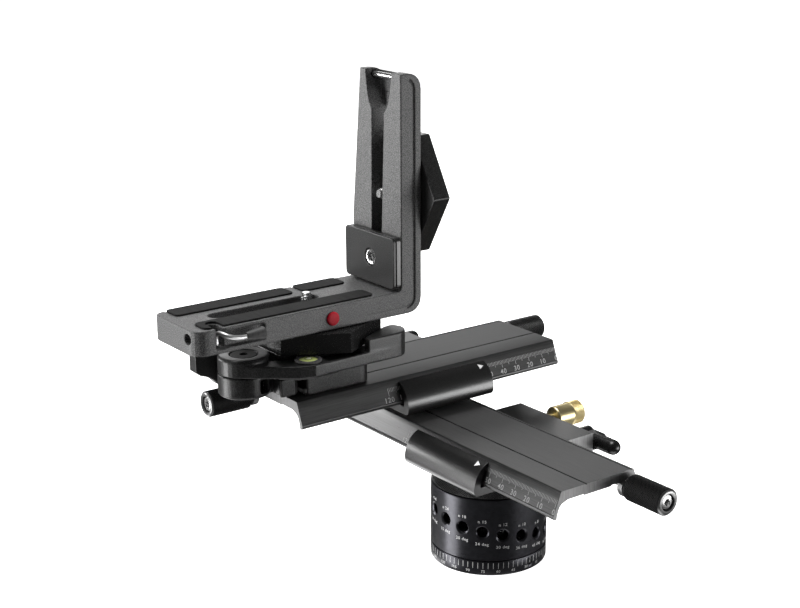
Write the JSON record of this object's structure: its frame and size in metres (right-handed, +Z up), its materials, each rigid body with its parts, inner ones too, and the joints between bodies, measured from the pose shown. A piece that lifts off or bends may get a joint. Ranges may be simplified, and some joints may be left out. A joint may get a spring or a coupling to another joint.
{
  "type": "panoramic slider head",
  "caption": "Indexed panoramic tripod head with crossed lead-screw sliding plates, a quick-release clamp and an L-shaped camera bracket.",
  "frame": {"origin": "on the pan axis, at the underside of the base ring", "axes": "+Z up along the pan axis; +X along the upper sliding plate towards its zero end; the lower sliding plate's zero end points towards -Y"},
  "size_m": [0.2628, 0.2523, 0.2585],
  "materials": {
    "anodised_black": "satin black anodised aluminium",
    "plate_black": "brushed dark anodised aluminium, light engraved scale",
    "knurled_black": "fine diamond knurl, black anodised",
    "brushed_aluminium": "brushed bare aluminium",
    "brass": "polished brass, knurled head",
    "steel": "bright turned steel",
    "casting_black": "satin black painted casting",
    "powder_grey": "speckled grey powder coat on cast aluminium",
    "rubber": "fine ribbed black rubber",
    "badge_red": "plain red disc",
    "vial_green": "clear yellow-green level vial",
    "moulded_grey": "dark moulded plastic"
  },
  "bodies": {
    "base": {"base_ring": "anodised_black", "tripod_bush": "steel", "index_core": "brushed_aluminium", "spindle_bolt": "steel", "thrust_washer": "brass"},
    "pan": {"index_drum": "anodised_black", "plunger_sleeve": "steel", "lower_carriage": "anodised_black", "lower_rear_block": "brushed_aluminium"},
    "plunger": {"index_plunger": "knurled_black"},
    "pan_lock": {"pan_lock_ring": "knurled_black"},
    "lower_release": {"lower_release_knob": "brass", "lower_half_nut": "brass"},
    "lower_lock": {"lower_lock_lever": "anodised_black"},
    "lower_slide": {"lower_plate": "plate_black", "lower_bearing_zero": "anodised_black", "lower_bearing_far": "anodised_black", "adapter_plate": "anodised_black", "upper_carriage": "anodised_black", "upper_rear_block": "brushed_aluminium"},
    "lower_screw": {"lower_lead_screw": "steel", "lower_knob_zero": "knurled_black", "lower_knob_far": "knurled_black", "lower_knob_screw_zero": "steel", "lower_knob_screw_far": "steel"},
    "upper_release": {"upper_release_knob": "brass", "upper_half_nut": "brass"},
    "upper_lock": {"upper_lock_lever": "anodised_black"},
    "upper_slide": {"upper_plate": "plate_black", "upper_bearing_zero": "anodised_black", "upper_bearing_far": "anodised_black", "clamp_body": "casting_black", "clamp_bolt": "steel", "lever_pivot": "steel", "torsion_spring": "steel", "foot_plate": "casting_black", "l_bracket": "powder_grey", "rear_pad_left": "rubber", "rear_pad_right": "rubber", "front_pad": "rubber", "badge": "badge_red", "top_pin": "steel"},
    "upper_screw": {"upper_lead_screw": "steel", "upper_knob_zero": "knurled_black", "upper_knob_far": "knurled_black", "upper_knob_screw_zero": "steel", "upper_knob_screw_far": "steel"},
    "clamp_lever": {"clamp_lever": "casting_black", "level_cup": "moulded_grey", "level_vial": "vial_green"},
    "safety_catch": {"safety_catch": "casting_black"},
    "camera_screw": {"camera_screw": "steel"},
    "stop_lever": {"stop_lever": "steel", "stop_lever_sleeve": "moulded_grey"},
    "backstop": {"backstop_plate": "casting_black", "backstop_slider": "brushed_aluminium", "backstop_screw": "steel"},
    "side_plate": {"side_plate": "casting_black", "side_plate_screw": "steel"}
  },
  "joints": [
    {"name": "pan_rotation", "type": "hinge", "parent": "base", "child": "pan", "pos_m": [0, 0, 0], "axis": [0, 0, 1], "continuous": true},
    {"name": "plunger_pull", "type": "slide", "parent": "pan", "child": "plunger", "axis": [0.9063, 0.4226, 0], "range_m": [0, 0.004], "stiffness_N_per_m": 900},
    {"name": "pan_lock_turn", "type": "hinge", "parent": "pan", "child": "pan_lock", "pos_m": [0, 0, 0.0467], "axis": [0, 0, 1], "range_deg": [-15, 90]},
    {"name": "lower_travel", "type": "slide", "parent": "pan", "child": "lower_slide", "axis": [0, -1, 0], "range_m": [-0.0525, 0.0615]},
    {"name": "lower_screw_turn", "type": "hinge", "parent": "lower_slide", "child": "lower_screw", "pos_m": [0.0205, 0, 0.062], "axis": [0, -1, 0], "range_deg": [-6305, 7385]},
    {"name": "lower_release_push", "type": "slide", "parent": "pan", "child": "lower_release", "axis": [-1, 0, 0], "range_m": [0, 0.003], "stiffness_N_per_m": 700},
    {"name": "lower_lock_turn", "type": "hinge", "parent": "pan", "child": "lower_lock", "pos_m": [0.0542, -0.016, 0.06], "axis": [-1, 0, 0], "range_deg": [0, 40]},
    {"name": "upper_travel", "type": "slide", "parent": "lower_slide", "child": "upper_slide", "axis": [1, 0, 0], "range_m": [-0.05, 0.064]},
    {"name": "upper_screw_turn", "type": "hinge", "parent": "upper_slide", "child": "upper_screw", "pos_m": [0, 0.088, 0.087], "axis": [1, 0, 0], "range_deg": [-6005, 7685]},
    {"name": "upper_release_push", "type": "slide", "parent": "lower_slide", "child": "upper_release", "axis": [0, -1, 0], "range_m": [0, 0.003], "stiffness_N_per_m": 700},
    {"name": "upper_lock_turn", "type": "hinge", "parent": "lower_slide", "child": "upper_lock", "pos_m": [0.016, 0.1217, 0.085], "axis": [0, -1, 0], "range_deg": [0, 40]},
    {"name": "clamp_lever_turn", "type": "hinge", "parent": "upper_slide", "child": "clamp_lever", "pos_m": [-0.1112, 0.0675, 0.109], "axis": [0, 0, -1], "range_deg": [0, 60]},
    {"name": "safety_catch_turn", "type": "hinge", "parent": "upper_slide", "child": "safety_catch", "pos_m": [-0.0942, 0.0544, 0.102], "axis": [0, 0, 1], "range_deg": [0, 25], "stiffness_Nm_per_rad": 0.05},
    {"name": "camera_screw_travel", "type": "slide", "parent": "upper_slide", "child": "camera_screw", "axis": [1, 0, 0], "range_m": [-0.011, 0.004]},
    {"name": "stop_lever_turn", "type": "hinge", "parent": "upper_slide", "child": "stop_lever", "pos_m": [-0.1366, 0.0506, 0.136], "axis": [0, 0, -1], "range_deg": [0, 20]},
    {"name": "backstop_travel", "type": "slide", "parent": "upper_slide", "child": "backstop", "axis": [0, 0, 1], "range_m": [0, 0.025]},
    {"name": "side_plate_travel", "type": "slide", "parent": "upper_slide", "child": "side_plate", "axis": [0, 0, 1], "range_m": [-0.015, 0.03]}
  ],
  "couplings": [
    {"joint": "lower_screw_turn", "follows": "lower_travel", "rad_per_m": 2094.4},
    {"joint": "upper_screw_turn", "follows": "upper_travel", "rad_per_m": 2094.4}
  ]
}
